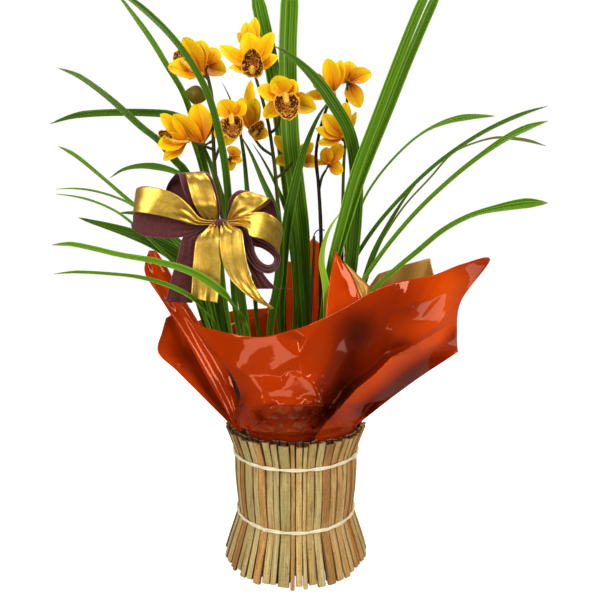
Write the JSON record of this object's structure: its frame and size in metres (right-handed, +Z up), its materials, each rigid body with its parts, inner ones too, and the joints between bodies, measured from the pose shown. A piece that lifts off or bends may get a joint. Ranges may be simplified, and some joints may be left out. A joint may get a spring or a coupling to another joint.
{
  "type": "potted orchid",
  "caption": "Potted orchid with strap leaves and golden flowers, in a nursery pot wrapped in glossy film, standing in a waisted slat holder tied with cords, with a double ribbon bow.",
  "frame": {"origin": "centre of the holder's base, on the surface it stands on", "axes": "+Z up, -Y towards the front seen in the picture, +X to the front's right"},
  "size_m": [0.6191, 0.2266, 0.6881],
  "materials": {
    "plywood": "bare",
    "reed": "dried, bare",
    "raffia": "dried fibre, twisted",
    "pot_plastic": "satin",
    "bark": "chipped bark",
    "pseudobulb": "plant skin, satin",
    "stake": "stained",
    "flower_stem": "plant stem, satin",
    "bud": "plant skin, satin",
    "petal": "petal, soft satin with a spotted lip",
    "gold_satin": "satin",
    "maroon_ribbon": "matte",
    "orange_film": "glossy outside, bronze inside",
    "leaf": "leaf, satin"
  },
  "bodies": {
    "root": {"base_disc": "plywood", "slat_bundle_1": "reed", "slat_bundle_2": "reed", "slat_bundle_3": "reed", "slat_bundle_4": "reed", "raffia_cord_lower": "raffia", "raffia_cord_upper": "raffia", "nursery_pot": "pot_plastic", "potting_bark": "bark", "pseudobulb_left": "pseudobulb", "pseudobulb_middle": "pseudobulb", "pseudobulb_right": "pseudobulb", "stake_centre": "stake", "stake_right": "stake", "spike_left": "flower_stem", "spike_centre": "flower_stem", "spike_right": "flower_stem", "spike_right_back": "flower_stem", "flower_bud": "bud", "flower_left_top": "petal", "flower_left_top_back": "petal", "flower_centre_top": "petal", "flower_centre_top_back": "petal", "flower_centre_front": "petal", "flower_left_front": "petal", "flower_left_side": "petal", "flower_far_left": "petal", "flower_left_under": "petal", "flower_small_low": "petal", "flower_right_top": "petal", "flower_right_top_back": "petal", "flower_right_mid": "petal", "flower_right_low": "petal", "flower_hidden": "petal", "bow_gold_ribbon": "gold_satin", "bow_maroon_ribbon": "maroon_ribbon", "film_wrap_front": "orange_film", "film_wrap_back": "orange_film", "leaf_left_tall": "leaf", "leaf_left_arc_thin": "leaf", "leaf_left_high": "leaf", "leaf_left_dark": "leaf", "leaf_left_mid": "leaf", "leaf_left_broad": "leaf", "leaf_left_bright": "leaf", "leaf_left_lowest": "leaf", "leaf_left_back": "leaf", "leaf_centre_behind": "leaf", "leaf_centre_tall": "leaf", "leaf_centre_arch": "leaf", "leaf_centre_cross": "leaf", "leaf_spike_dark": "leaf", "leaf_spike_left": "leaf", "leaf_right_twin": "leaf", "leaf_right_pale": "leaf", "leaf_right_long": "leaf", "leaf_right_bright": "leaf", "leaf_right_low": "leaf", "leaf_right_upright": "leaf", "leaf_young": "leaf"}
  },
  "joints": []
}
